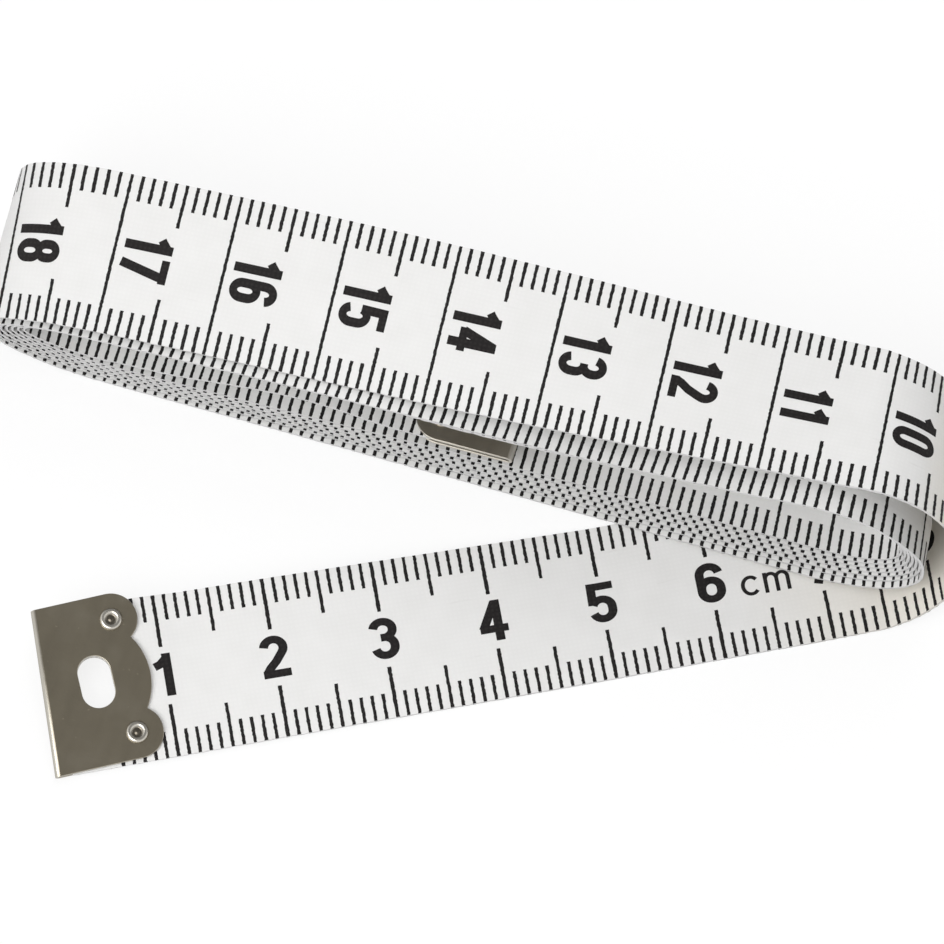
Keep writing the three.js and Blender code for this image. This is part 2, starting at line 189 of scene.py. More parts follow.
# Printed scale
CENTIMETRE = 10
HALF_CENTIMETRE = 5
INK_SEED = 7
INK_FLOAT = 0.012
STROKE_FLOAT = 0.0015
TICK_WIDTH = 0.31
CENTIMETRE_WIDTH = 0.35
LINE_WIDTH = 0.29
FIRST_MARK = 5
TICK_SHORT = 2.4
TICK_HALF = 4.1
TICK_LONG = 4.83
TICK_RAGGEDNESS = 0.03
TICK_STEP = 0.2
UPRIGHT_LAST = 9
UPRIGHT_SIZE = (2.58, 3.95)
UPRIGHT_NIB = (0.82, 0.72)
UPRIGHT_FOOT = -1.9
ONE_SHIFT = 0.3
UNIT_AFTER = 6
UNIT_SIZES = {"c": (1.8, 2.0), "m": (2.4, 2.0)}
UNIT_NIB = (0.36, 0.33)
UNIT_GAP = 1.36
UNIT_SPACE = 0.3
TURNED_SIZE = (2.25, 4.35)
TURNED_NIB = (0.86, 0.72)
TURNED_GAP = 0.5
TURNED_FOOT = 0.8
TURNED_SHIFT = -0.1
ONE_WIDTHS = {UPRIGHT_SIZE: 1.75, TURNED_SIZE: 1.5}
STROKE_STEP = 0.4
STROKE_LEAST = 0.5

# Print as photographed, a little stretched and askew. A skew is length ahead per length across the tape.
LEAD_STRETCH = 1.008
LEAD_STRETCH_PLACE = 30.0
PRINT_KNOTS = ((87.0, 86.7), (100.2, 100.38), (176.9, 174.38))
SKEW_KNOTS = (
    (85.0, 0.022), (110.0, 0.067), (120.0, 0.064), (145.0, 0.022), (158.0, 0.022), (182.0, -0.03),
)
ROW_PLACES = (-23.4, 15.7)
ROW_READINGS = (-0.26, -0.49, 0.07, 0.46, 0.83, 0.20, -1.63)
ROW_STRETCH = 1.003
TOP_FROM = 100.0
COIL_FROM = 200.0

# Camera, fitted to the photograph's square frame
CAMERA_TARGET = np.array([2.132, 12.326, 0.0])
CAMERA_AZIMUTH = math.radians(16.5)
CAMERA_ELEVATION = math.radians(65)
CAMERA_DISTANCE = 800.0
CAMERA_LENS = 334.07
CAMERA_SENSOR = 36.0
CAMERA_CLIP = (0.01, 20.0)
SIGHT_LINE = np.array([math.sin(CAMERA_AZIMUTH), -math.cos(CAMERA_AZIMUTH), math.tan(CAMERA_ELEVATION)])
SIGHT_LINE /= SIGHT_LINE[2]

# Stand of the coil: its flat end is raised along the line of sight, to about the height of its solid
STAND_SHARE = 0.285
STAND_FROM = 34.0
STAND_FULL = -40.0
STAND_POWER = 1.3
INNER_LENGTH = 55.0
INNER_STAND = (-30.0, -12.0)

# Steps of searches and measurements
HALVINGS = 50
LENGTH_POINTS = 60
NORMAL_REACH = 0.5


# Small helpers
def unit(vectors):
    vectors = np.asarray(vectors, float)
    return vectors / np.linalg.norm(vectors, axis=-1, keepdims=True)


def turn(vectors, axes, angles):
    """Each vector turned about its unit axis."""
    angles = np.asarray(angles, float)[..., None]
    along = np.sum(vectors * axes, axis=-1, keepdims=True)
    side = np.cross(axes, vectors)
    return vectors * np.cos(angles) + side * np.sin(angles) + axes * along * (1 - np.cos(angles))


def smoothstep(x, low, high):
    t = np.clip((x - low) / (high - low), 0, 1)
    return t * t * (3 - 2 * t)


def mix(a, b, t):
    return a + (b - a) * t


def run_lengths(points):
    """Length along a line from its first point to each of its points."""
    return np.concatenate([[0], np.cumsum(np.linalg.norm(np.diff(points, axis=0), axis=1))])


def at_lengths(m, known, values):
    """Rows of values at other lengths than the known ones."""
    return np.stack([np.interp(m, known, column) for column in values.T], axis=-1)


def hump(x, height, place, spread):
    return height * np.exp(-(((x - place) / spread) ** 2))


def solve(low, high, test):
    """Place where a falling test crosses zero."""
    for _ in range(HALVINGS):
        middle = (low + high) / 2
        if test(middle) > 0:
            low = middle
        else:
            high = middle
    return (low + high) / 2


# What the frame gives: the lead's first bending line and the box of the inner clip
first_joint = frame["joints"][0]
lead_across = unit(first_joint["axis"])
lead_along = np.cross(lead_across, Z)
first_bend = np.array(first_joint["pos_m"]) / MM
loop_base = first_bend + lead_along * (LEAD_LENGTH - LEAD_BENDS[0])
loop_base[2] = 0
loop_axis = turn(lead_across, Z, -LOOP_SLANT)
loop_out = turn(lead_along, Z, -LOOP_SLANT)
inner_low, inner_high = (np.array(corner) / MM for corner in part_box("inner_clip"))


class Bend:
    """Elliptic bend in the XZ plane, followed by the angle of its outward normal."""

    def __init__(self, centre, half):
        self.centre = np.array(centre, float)
        self.half = np.array(half, float)

    def reach(self, angle):
        """How far the bend reaches from its centre towards an angle."""
        return np.linalg.norm(self.half * out_from(angle))

    def point(self, angle):
        return self.centre + self.half**2 * out_from(angle) / self.reach(angle)

    def length(self, start, end):
        points = np.array([self.point(angle) for angle in np.linspace(start, end, LENGTH_POINTS)])
        return run_lengths(points)[-1]


def out_from(angle):
    return np.array([math.cos(angle), math.sin(angle)])


def shared_normal(first, second, side):
    """Outward angle of the straight run tangent to two bends, on the upper or the lower side."""
    def miss(angle):
        gap = (second.centre - first.centre) @ out_from(angle)
        return side * (gap + second.reach(angle) - first.reach(angle))

    middle = side * math.pi / 2
    low, high = middle - NORMAL_REACH, middle + NORMAL_REACH
    return solve(low, high, miss) if miss(low) > 0 else solve(low, high, lambda angle: -miss(angle))


top_bend = Bend(TOP_BEND_CENTRE, TOP_BEND_HALF)


# Tape's middle line. A station is its place, the direction across it, and the roll about its run.
def lead_station(s):
    twist = LEAD_TWIST * np.clip((LEAD_BENDS[0] - s) / (LEAD_BENDS[0] - CLIP_END), 0, 1)
    twist *= 1 - LEAD_EASE * smoothstep(s - CLIP_END, *LEAD_EASE_SPAN)
    across = turn(lead_across, lead_along, twist)
    place = loop_base + lead_along * (s - LEAD_LENGTH) - lead_across * HALF_WIDTH + across * HALF_WIDTH
    lift = CLIP_LIFT * (1 - smoothstep(s, CLIP_END, LEAD_BENDS[0]))
    lift += LOOP_DIP * smoothstep(s, LOOP_RISE_START, LEAD_LENGTH)
    return place + Z * (HALF_THICKNESS + lift), lead_across, twist


def loop_heading(angle):
    level = loop_out * math.cos(angle) + Z * math.sin(angle)
    return level * math.cos(LOOP_SLANT) + loop_axis * math.sin(LOOP_SLANT)


def loop_station(angle):
    place = loop_base + loop_out * LOOP_RADIUS * math.sin(angle)
    place = place + loop_axis * LOOP_RADIUS * math.tan(LOOP_SLANT) * angle
    upper = smoothstep(angle, math.pi / 2, math.pi)
    height = HALF_THICKNESS + LOOP_DIP + LOOP_RADIUS * (1 - math.cos(angle)) - LOOP_SAG * upper
    return place + Z * height, loop_axis, LOOP_TWIST * upper


def top_line(angle):
    """Straight run that leaves the loop: its length to the left bend, its miss and the bend's normal."""
    place = loop_station(angle)[0]
    heading = loop_heading(angle)[[0, 2]]
    inward = unit([-heading[1], heading[0]])
    normal = math.atan2(-inward[1], -inward[0])
    offset = top_bend.point(normal) - place[[0, 2]]
    return offset @ heading / (heading @ heading), offset @ inward, normal


def top_stations(loop_angle):
    run = top_line(loop_angle)[0]
    start = loop_station(loop_angle)[0]
    heading = loop_heading(loop_angle)
    stations = []
    for d in np.arange(PATH_STEP, run, PATH_STEP):
        roll = mix(LOOP_TWIST, -TOP_TWIST, smoothstep(d, 0, TOP_TWIST_LENGTH))
        axis = mix(loop_axis, Y, smoothstep(d, 0, run))
        shift = Y * TOP_SHIFT * smoothstep(d, 0, run)
        stations.append((start + heading * d + shift, axis, roll))
    return stations, start[1] + heading[1] * run + TOP_SHIFT, heading[1]


def coil_bends():
    """The coil's bends, from the outer left one inwards."""
    bends = [top_bend]
    for layer in range(COIL_LAYERS):
        right = np.array(RIGHT_HALF) - np.array(RIGHT_HALF_STEP) * layer
        bends.append(Bend((RIGHT_TIP - RIGHT_TIP_STEP * layer - right[0], RIGHT_HEIGHT), right))
        bends.append(Bend(LEFT_CENTRE, np.array(LEFT_HALF) - np.array(LEFT_HALF_STEP) * layer))
    bends[-1] = Bend(INNER_BEND_CENTRE, INNER_BEND_HALF)
    return bends


def upper_shape(x):
    return hump(x, *CROWN) + hump(x, *SAG)


def coil_profile(first_angle):
    """Points of the coil in the XZ plane, with the turns inwards and the turning of the bend so far."""
    bends = coil_bends()
    points = []
    entry = first_angle
    for index, bend in enumerate(bends):
        last = index + 1 == len(bends)
        side = -1 if index % 2 == 0 else 1
        leave = INNER_EXIT - math.pi / 2 if last else shared_normal(bend, bends[index + 1], side)
        sweep = (leave - entry) % (2 * math.pi)
        shape = SHAPE_FADE ** ((index - 1) // 2) if index > 0 else 0
        for part in np.linspace(0, 1, BEND_POINTS, endpoint=False):
            angle = entry + sweep * part
            x, z = bend.point(angle)
            turns = max(index - 1 + smoothstep(part, 0, 1), 0) / 2
            turned = sweep * part if index == 0 else math.pi
            points.append((x, z + shape * max(math.sin(angle), 0) * upper_shape(x), turns, turned))
        begin = bend.point(leave)
        if last:
            break
        end = bends[index + 1].point(leave)
        for part in np.linspace(0, 1, math.ceil(math.dist(begin, end) / PATH_STEP), endpoint=False):
            x, z = mix(begin, end, part)
            points.append((x, z + (shape * upper_shape(x) if side > 0 else 0), index / 2, math.pi))
        entry = leave
    return points + inner_profile(begin, (len(bends) - 1) / 2)


def inner_profile(begin, turns):
    """Inner end: up from the last bend to a crest, then down and straight through its clip."""
    clip_x = inner_low[0] - TAPE_THICKNESS
    end_x = inner_high[0] - CLIP_OVERHANG
    middle = (inner_low + inner_high) / 2
    clip_z = middle[2] + (clip_x - middle[0]) * INNER_CLIP_SLOPE
    knots = [
        (begin[0], begin[1], math.tan(INNER_EXIT)),
        INNER_RISE,
        INNER_CREST,
        (clip_x, clip_z, INNER_CLIP_SLOPE),
        (end_x, clip_z + (end_x - clip_x) * INNER_CLIP_SLOPE, INNER_CLIP_SLOPE),
    ]
    points = []
    for (x0, z0, slope0), (x1, z1, slope1) in zip(knots, knots[1:]):
        span = x1 - x0
        for t in np.arange(0, 1, PATH_STEP / span):
            rise = (2 * t**3 - 3 * t**2 + 1) * z0 + (3 * t**2 - 2 * t**3) * z1
            rise += (t**3 - 2 * t**2 + t) * span * slope0 + (t**3 - t**2) * span * slope1
            points.append((x0 + span * t, rise, turns, math.pi))
    points.append((end_x, knots[-1][1], turns, math.pi))
    return points


def coil_stations(first_angle, drift_from, drift_slope):
    x, z, turns, turned = np.array(coil_profile(first_angle)).T
    d = run_lengths(np.column_stack([x, z]))
    setback = SETBACK_LEFT + SETBACK_GAIN * smoothstep(x, *SETBACK_SPAN)
    y = COIL_DEPTH + COIL_SLANT * x + setback * turns + SETBACK_FIRST * smoothstep(turns, 0.5, 1)
    y += WAVE_HEIGHT * np.sin(d / WAVE_LENGTH) * smoothstep(d, 0, WAVE_EASE)
    y -= np.where(np.abs(turns - PEEK_TURN) < PEEK_TURN_REACH, hump(x, *PEEK), 0)

    # The outermost bend drifts to the coil's depth from where the top run leaves it
    drift_length = top_bend.length(first_angle, first_angle + math.pi)
    t = np.clip(d / drift_length, 0, 1)
    fade = (1 - t) ** 2
    y += (drift_from - y) * fade * (1 + 2 * t) + drift_slope * drift_length * t * fade

    # The inner end comes forward to its clip
    depth = (inner_low[1] + inner_high[1]) / 2
    forward = smoothstep(x, LEFT_CENTRE[0], inner_low[0] - INNER_FORWARD)
    y = np.where(turns >= COIL_LAYERS, mix(y, depth, forward), y)
    roll = -TOP_TWIST * (1 - smoothstep(turned, 0, UNTWIST_TURN))

    # The upper runs lean with the outermost one at the right, about their near edges
    lean = UPPER_ROLL * smoothstep(x, *UPPER_ROLL_SPAN)
    lean *= smoothstep(z, RIGHT_HEIGHT, RIGHT_HEIGHT + UPPER_ROLL_RISE)
    places = np.column_stack([x, y, z - HALF_WIDTH * np.sin(lean)])
    return [(place, Y, angle) for place, angle in zip(places, roll + lean)]


def tape_stations():
    stations = [lead_station(s) for s in np.arange(0, LEAD_LENGTH, PATH_STEP)]
    loop_angle = solve(math.pi / 2, 1.5 * math.pi, lambda angle: top_line(angle)[1])
    loop_length = LOOP_RADIUS * loop_angle / math.cos(LOOP_SLANT)
    for angle in np.linspace(0, loop_angle, math.ceil(loop_length / PATH_STEP)):
        stations.append(loop_station(angle))
    top, drift_from, drift_slope = top_stations(loop_angle)
    first_angle = top_line(loop_angle)[2]
    return stations + top + coil_stations(first_angle, drift_from, drift_slope)


def lead_reading(s):
    """Reading of the scale at a length along the lead."""
    return LEAD_STRETCH_PLACE + (s - LEAD_STRETCH_PLACE) / LEAD_STRETCH


def printed_length(s, x):
    """Reading of the scale at each length along the tape. It ends at the tape's whole length.

    The readings' parts of a millimetre are given for the left of each lower run of the coil."""
    lengths = [0] + [length for length, _ in PRINT_KNOTS] + [s[-1]]
    readings = [lead_reading(0)] + [reading for _, reading in PRINT_KNOTS] + [TAPE_LENGTH]
    left, right = (
        s[1:][(x[:-1] < place) & (x[1:] >= place) & (s[1:] > COIL_FROM)] for place in ROW_PLACES
    )
    plain = np.floor(np.interp(left, lengths, readings))
    for begin, finish, whole, part in zip(left, right, plain, ROW_READINGS):
        lengths[-1:-1] = [begin, finish]
        readings[-1:-1] = [whole + part, whole + part + (finish - begin) / ROW_STRETCH]
    return np.interp(s, lengths, readings)


def coil_stand(m, x, z):
    """Rise of the coil's runs along the line of sight. The inner end stays at its clip."""
    part = np.clip((STAND_FROM - x) / (STAND_FROM - STAND_FULL), 0, None)
    rise = STAND_SHARE * part**STAND_POWER * z * (m > TOP_FROM)
    return rise * np.where(m > TAPE_LENGTH - INNER_LENGTH, 1 - smoothstep(x, *INNER_STAND), 1)


class Tape:
    """The tape as rings across it, at print lengths half a millimetre apart and clear of the marks."""

    def __init__(self):
        place, axis, roll = (np.array(column) for column in zip(*tape_stations()))
        s = run_lengths(place)
        along = unit(np.gradient(place, s, axis=0))
        level = unit(axis - along * np.sum(axis * along, axis=1, keepdims=True))
        across = turn(level, along, roll)
        printed = printed_length(s, place[:, 0])
        rings = np.arange(RING_STEP / 2, TAPE_LENGTH, RING_STEP)
        self.m = np.concatenate([printed[:1], rings[rings > printed[0] + RING_LEAST], [TAPE_LENGTH]])
        self.place = at_lengths(self.m, printed, place)
        self.along = unit(at_lengths(self.m, printed, along))
        self.across = unit(at_lengths(self.m, printed, across))
        x = self.place[:, 0]
        shear = LEFT_SHEAR * smoothstep(-x, -LEFT_SHEAR_FROM, -LEFT_CENTRE[0] + LEFT_HALF[0])
        shear += RIGHT_SHEAR * smoothstep(x, RIGHT_SHEAR_FROM, RIGHT_TIP) * (self.m > COIL_FROM)
        self.across += np.outer(shear * (self.m > TOP_FROM), X)
        self.normal = unit(np.cross(self.along, self.across))
        self.place += np.outer(coil_stand(self.m, x, self.place[:, 2]), SIGHT_LINE)
        wobble = np.random.default_rng(EDGE_SEED).uniform(-1, 1, (len(self.m), 2))
        self.half = HALF_WIDTH + EDGE_RAGGEDNESS * wobble

    def points(self, m, u, v):
        """Places on the tape at print length m, u across from its middle and v off its middle surface."""
        u, v = (np.asarray(value, float)[..., None] for value in (u, v))
        values = (self.place, self.across, self.normal)
        place, across, normal = (at_lengths(m, self.m, value) for value in values)
        return place + across * u + normal * v


# Meshes
def add_object(name, data):
    obj = bpy.data.objects.new(name, data)
    bpy.context.scene.collection.objects.link(obj)
    return obj


def new_object(name, vertices, faces, material, uvs=None, cut=None):
    """Mesh object from points in millimetres, with UVs of its vertices and cut edges among its faces."""
    mesh = bpy.data.meshes.new(name)
    mesh.from_pydata((np.asarray(vertices) * MM).tolist(), [], faces)
    mesh.materials.append(material)
    if uvs is not None:
        layer = mesh.uv_layers.new(name="tape_millimetres")
        corners = np.empty(len(mesh.loops), int)
        mesh.loops.foreach_get("vertex_index", corners)
        layer.data.foreach_set("uv", np.asarray(uvs, float)[corners].ravel())
    if cut is not None:
        mesh.attributes.new("cut_edge", "FLOAT", "FACE").data.foreach_set("value", cut)
    mesh.shade_smooth()
    mesh.set_sharp_from_angle(angle=TAPE_SHARP)
    return add_object(name, mesh)


def band(tape, name, start, end, material):
    """Closed ribbon between two print lengths."""
    rings = np.flatnonzero((tape.m >= start) & (tape.m <= end))
    parts = np.linspace(0, 1, COLUMNS + 1)
    corners = [(part, -1) for part in parts] + [(part, 1) for part in parts[::-1]]
    count = len(corners)
    vertices, uvs = [], []
    for ring in rings:
        near, far = tape.half[ring]
        for part, face in corners:
            u = mix(-near, far, part)
            offset = tape.across[ring] * u + tape.normal[ring] * face * HALF_THICKNESS
            vertices.append(tape.place[ring] + offset)
            uvs.append((tape.m[ring], u + face * HALF_THICKNESS))
    faces = [tuple(reversed(range(count)))]
    cut = [1.0]
    for first in range(0, (len(rings) - 1) * count, count):
        for side in range(count):
            a, b = first + side, first + (side + 1) % count
            faces.append((a, b, b + count, a + count))
            cut.append(float(side in (COLUMNS, count - 1)))
    faces.append(tuple(range((len(rings) - 1) * count, len(rings) * count)))
    cut.append(1.0)
    return new_object(name, vertices, faces, material, uvs, cut)


def mitres(points, closed, least):
    """Way to the left at each point of a line, longer where the line turns."""
    before = points - np.roll(points, 1, axis=0)
    after = np.roll(points, -1, axis=0) - points
    if not closed:
        before[0] = after[0]
        after[-1] = before[-1]
    after = unit(after)
    lean = unit(unit(before) + after)
    square = np.column_stack([-lean[:, 1], lean[:, 0]])
    return square / np.maximum(np.sum(lean * after, axis=1), least)[:, None]


class Ink:
    """Printed marks, gathered as thin faces that float just over the tape's faces."""

    def __init__(self, tape):
        self.tape = tape
        self.chance = np.random.default_rng(INK_SEED)
        self.vertices, self.uvs, self.faces = [], [], []

    def add(self, m, u, height):
        """Strip of ink between two rows of points, at a height off the tape's middle surface."""
        first = len(self.vertices)
        m, u = np.ravel(m), np.ravel(u)
        skew = np.interp(m, *zip(*SKEW_KNOTS))
        self.vertices.extend(self.tape.points(m + skew * u, u, np.full(len(m), height)))
        self.uvs.extend(zip(m, u))
        for row in range(first, first + len(m) - 2, 2):
            self.faces.append((row, row + 2, row + 3, row + 1))

    def bar(self, m, width, u0, u1, side):
        """Mark across the tape on one of its faces, its sides a little ragged from the threads."""
        u = np.linspace(u0, u1, math.ceil(abs(u1 - u0) / TICK_STEP) + 1)
        ragged = self.chance.uniform(-TICK_RAGGEDNESS, TICK_RAGGEDNESS, (len(u), 2))
        way = 1 if side * (u1 - u0) < 0 else -1
        sides = m + way * (np.array([-1, 1]) * width / 2 + ragged)
        self.add(sides, np.column_stack([u, u]), side * (HALF_THICKNESS + INK_FLOAT))

    def glyph(self, character, size, nib, place, lying, side):
        """Character of an oval nib's strokes, at a place along and across the tape. It lies or stands."""
        nib = np.array(nib)
        for level, stroke in enumerate(glyph_lines(character, *(np.array(size) - nib), *nib / 2)):
            line = subdivide(stroke) + nib / 2
            reach = mitres(line, False, STROKE_LEAST) * nib / 2
            x, y = np.stack([line - reach, line + reach], axis=1).reshape(-1, 2).T
            m, u = (place[0] - y, place[1] + x) if lying else (place[0] + x, place[1] + y)
            self.add(m, side * u, side * (HALF_THICKNESS + INK_FLOAT + STROKE_FLOAT * level))

    def object(self, name, material):
        return new_object(name, self.vertices, self.faces, material, self.uvs)


# Numerals, drawn as pen strokes in a box of the given width and height
def subdivide(line):
    """The same line with points close enough together to follow a bend of the tape."""
    points = [line[:1]]
    for a, b in zip(line, line[1:]):
        count = max(math.ceil(math.dist(a, b) / STROKE_STEP), 1)
        points.append(np.linspace(a, b, count + 1)[1:])
    return np.vstack(points)


def arc(x, y, rx, ry, start, end, step=12, least=2):
    """Points of an elliptic arc, angles in degrees."""
    count = max(math.ceil(abs(end - start) / step), least)
    angles = np.radians(np.linspace(start, end, count + 1))
    return [(x + rx * math.cos(a), y + ry * math.sin(a)) for a in angles]


def oval(left, right, bottom, top, round_height):
    """Closed upright ring with straight sides, drawn a little past its start."""
    middle, half = (left + right) / 2, (right - left) / 2
    upper = arc(middle, top - round_height, half, round_height, 90, 180)
    lower = arc(middle, bottom + round_height, half, round_height, 180, 360)
    return upper + lower + arc(middle, top - round_height, half, round_height, 0, 96)


def glyph_lines(character, w, h, over_x, over_y):
    """Lines of the nib's middle for a character whose lines fill a box w wide and h high."""
    half = w / 2
    bend = min(0.56 * w, 0.25 * h)
    if character == "0":
        return [oval(0, w, 0, h, bend)]
    if character == "1":
        flag = [(w + 0.1 * over_x, h - 0.1 * over_y), (w - 0.62, h - 0.62), (-0.55 * over_x, h - 0.8)]
        return [[(w, h + over_y), (w, -over_y)], flag]
    if character == "2":
        hook = arc(half, h - bend, half, bend, 172, -20)
        neck = [(0.88 * w, h - bend - 0.16 * h), (0.55 * w, 0.36 * h), (0.2 * w, 0.18 * h), (0, 0.03 * h)]
        return [hook + neck, [(-0.85 * over_x, 0), (w + over_x, 0)]]
    waist = 0.53 * h
    if character == "3":
        bowl = min(0.56 * w, 0.23 * h)
        upper = arc(half, h - bowl, half, bowl, 170, 0) + arc(half, waist + bowl, half, bowl, 0, -70)
        lower = arc(half, waist - bend, half, bend, 70, 0) + arc(half, bend, half, bend, 0, -170)
        return [upper, lower, [(0.34 * w, waist), (0.72 * w, waist)]]
    if character == "4":
        stem, bar = 0.74 * w, 0.25 * h
        slope = [(stem - 0.15 * over_x, h + 0.5 * over_y), (-0.3 * over_x, bar)]
        return [[(stem, h + over_y), (stem, -over_y)], slope, [(-over_x, bar), (w + over_x, bar)]]
    if character == "5":
        top = 0.6 * h
        belly = arc(half, top - bend, half, bend, 160, 0) + arc(half, bend, half, bend, 0, -165)
        stem = [(0.06 * w, h + over_y), (0.02 * w, 0.44 * h)]
        return [[(w + 0.8 * over_x, h), (0.02 * w, h)], stem, belly]
    if character in "69":
        back = arc(half, h - bend, half, bend, 8, 180) + [(0, bend)]
        lines = [oval(0, w, 0, 0.58 * h, bend), back]
        if character == "9":
            lines = [[(w - x, h - y) for x, y in line] for line in lines]
        return lines
    if character == "7":
        return [[(-over_x, h), (w + over_x, h)], [(w - 0.2 * over_x, h), (0.27 * w, -over_y)]]
    if character == "8":
        return [oval(0, w, 0, waist, bend), oval(0.04 * w, 0.96 * w, waist, h, 0.9 * bend)]
    if character == "c":
        return [arc(half, h / 2, half, h / 2, 40, 320)]
    arch = w / 4
    lines = [[(0, -over_y), (0, h + over_y)]]
    for left in (0, w / 2):
        lines.append(arc(left + arch, h - arch, arch, arch, 180, 0) + [(left + 2 * arch, -over_y)])
    return lines


def digit_sizes(number, size):
    """Sizes of a number's digits. A one is narrower than the others."""
    return [(ONE_WIDTHS[size] if digit == "1" else size[0], size[1]) for digit in str(number)]


def print_upright(ink, number, side):
    """Numeral that stands across the tape at its mark. The stem of the one stands on its mark."""
    size = digit_sizes(number, UPRIGHT_SIZE)[0]
    left = CENTIMETRE * number - size[0] / 2
    if number == 1:
        left = CENTIMETRE * number - size[0] + UPRIGHT_NIB[0] / 2 + ONE_SHIFT
    ink.glyph(str(number), size, UPRIGHT_NIB, (left, UPRIGHT_FOOT), False, side)


def print_unit(ink, side):
    """Unit after one of the upright numerals."""
    left = CENTIMETRE * UNIT_AFTER + UPRIGHT_SIZE[0] / 2 + UNIT_GAP
    for letter, size in UNIT_SIZES.items():
        ink.glyph(letter, size, UNIT_NIB, (left, UPRIGHT_FOOT), False, side)
        left += size[0] + UNIT_SPACE


def print_turned(ink, number, side):
    """Numeral that lies along the tape, its top towards the tape's start."""
    sizes = digit_sizes(number, TURNED_SIZE)
    foot = CENTIMETRE * number - TURNED_FOOT
    left = TURNED_SHIFT - (sum(width for width, _ in sizes) + TURNED_GAP * (len(sizes) - 1)) / 2
    for digit, size in zip(str(number), sizes):
        ink.glyph(digit, size, TURNED_NIB, (foot, left), True, side)
        left += size[0] + TURNED_GAP


def print_marks(ink, start, end):
    """Millimetre marks from both edges, on both faces."""
    first = max(math.ceil(start), FIRST_MARK)
    last = min(math.floor(end), int(TAPE_LENGTH) - 1)
    for m in range(first, last + 1):
        width, length = TICK_WIDTH, TICK_SHORT
        if m % HALF_CENTIMETRE == 0:
            length = TICK_HALF
        whole = m % CENTIMETRE == 0
        if whole:
            width, length = CENTIMETRE_WIDTH, TICK_LONG
        for side in (-1, 1):
            if whole and m > CENTIMETRE * UPRIGHT_LAST:
                ink.bar(m, LINE_WIDTH, -HALF_WIDTH, HALF_WIDTH, side)
                continue
            for edge in (-1, 1):
                ink.bar(m, width, edge * HALF_WIDTH, edge * (HALF_WIDTH - length), side)


def print_scale(tape, name, start, end, material):
    ink = Ink(tape)
    print_marks(ink, start, end)
    for side in (-1, 1):
        for number in range(1, int(TAPE_LENGTH / CENTIMETRE)):
            if start < CENTIMETRE * number <= end:
                put = print_upright if number <= UPRIGHT_LAST else print_turned
                put(ink, number, side)
        if start < CENTIMETRE * UNIT_AFTER + UNIT_GAP + UPRIGHT_SIZE[0] <= end:
            print_unit(ink, side)
    return ink.object(name, material)


# Clips: one sheet folded over the tape's end, built from rounded outlines
def clip_chain(lean):
    """Open outline of one leaf of the clip, from the fold round its lobes and back to the fold."""
    notch = math.degrees(math.acos((LOBE_RADIUS - SCALLOP_DEPTH) / LOBE_RADIUS))
    bay_half = RIVET_SPAN - LOBE_RADIUS * math.sin(math.radians(notch))
    bay_radius = (bay_half**2 + SCALLOP_DEPTH**2) / (2 * SCALLOP_DEPTH)
    bay = math.degrees(math.asin(bay_half / bay_radius))
    chain = [(CLIP_HALF + np.polyval(lean, -CLIP_HALF_WIDTH), -CLIP_HALF_WIDTH)]
    chain += fine_arc(RIVET_OFFSET, -RIVET_SPAN, LOBE_RADIUS, -90, notch)
    chain += fine_arc(CLIP_REACH - bay_radius, 0, bay_radius, -bay, bay)[1:-1]
    chain += fine_arc(RIVET_OFFSET, RIVET_SPAN, LOBE_RADIUS, -notch, 90)
    return np.array(chain + [(CLIP_HALF + np.polyval(lean, CLIP_HALF_WIDTH), CLIP_HALF_WIDTH)])


def fine_arc(x, y, radius, start, end):
    return arc(x, y, radius, radius, start, end, step=5, least=6)


def clip_holes():
    """Outlines of the slot and of the two rivet holes."""
    reach = (SLOT_LENGTH - SLOT_WIDTH) / 2
    radius = SLOT_WIDTH / 2
    slot = fine_arc(SLOT_OFFSET, reach, radius, 180, 0) + fine_arc(SLOT_OFFSET, -reach, radius, 0, -180)
    holes = [fine_arc(RIVET_OFFSET, y, SHANK_HOLE, 360, 0)[:-1] for y in (-RIVET_SPAN, RIVET_SPAN)]
    return [np.array(loop) for loop in (slot, *holes)]


# Rounded edge of the sheet: how far in from the outline, at which part of the half thickness
EDGE_LEVELS = ((1.0, 1.0), (0.35, 0.87), (0.0, 0.55), (0.0, -0.55), (0.35, -0.87), (1.0, -1.0))


class Metal:
    """Mesh of metal whose vertices carry a painted highlight, brighter on rounded edges, the fold and the
    rivet ring.
    """

    def __init__(self):
        self.mesh = bmesh.new()
        self.wear = self.mesh.verts.layers.float.new("wear")

    def vertex(self, x, y, z, wear):
        vertex = self.mesh.verts.new((x * MM, y * MM, z * MM))
        vertex[self.wear] = wear
        return vertex

    def edge(self, a, b):
        return self.mesh.edges.get((a, b)) or self.mesh.edges.new((a, b))

    def skin(self, rows, closed=True):
        """Smooth faces between rows of vertices, where a row of one vertex is a tip."""
        for upper, lower in zip(rows, rows[1:]):
            count = max(len(upper), len(lower))
            for i in range(count if closed else count - 1):
                j = (i + 1) % count
                corners = [upper[i % len(upper)], lower[i % len(lower)]]
                corners += [lower[j % len(lower)], upper[j % len(upper)]]
                self.mesh.faces.new(list(dict.fromkeys(corners))).smooth = True

    def object(self, name, place, material, sharp):
        bmesh.ops.remove_doubles(self.mesh, verts=self.mesh.verts, dist=MERGE_DISTANCE * MM)
        return finish_mesh(self.mesh, name, place, material, sharp)


def finish_mesh(shape, name, place, material, sharp):
    bmesh.ops.recalc_face_normals(shape, faces=shape.faces)
    mesh = bpy.data.meshes.new(name)
    shape.transform(place)
    shape.to_mesh(mesh)
    shape.free()
    mesh.materials.append(material)
    mesh.set_sharp_from_angle(angle=sharp)
    return add_object(name, mesh)


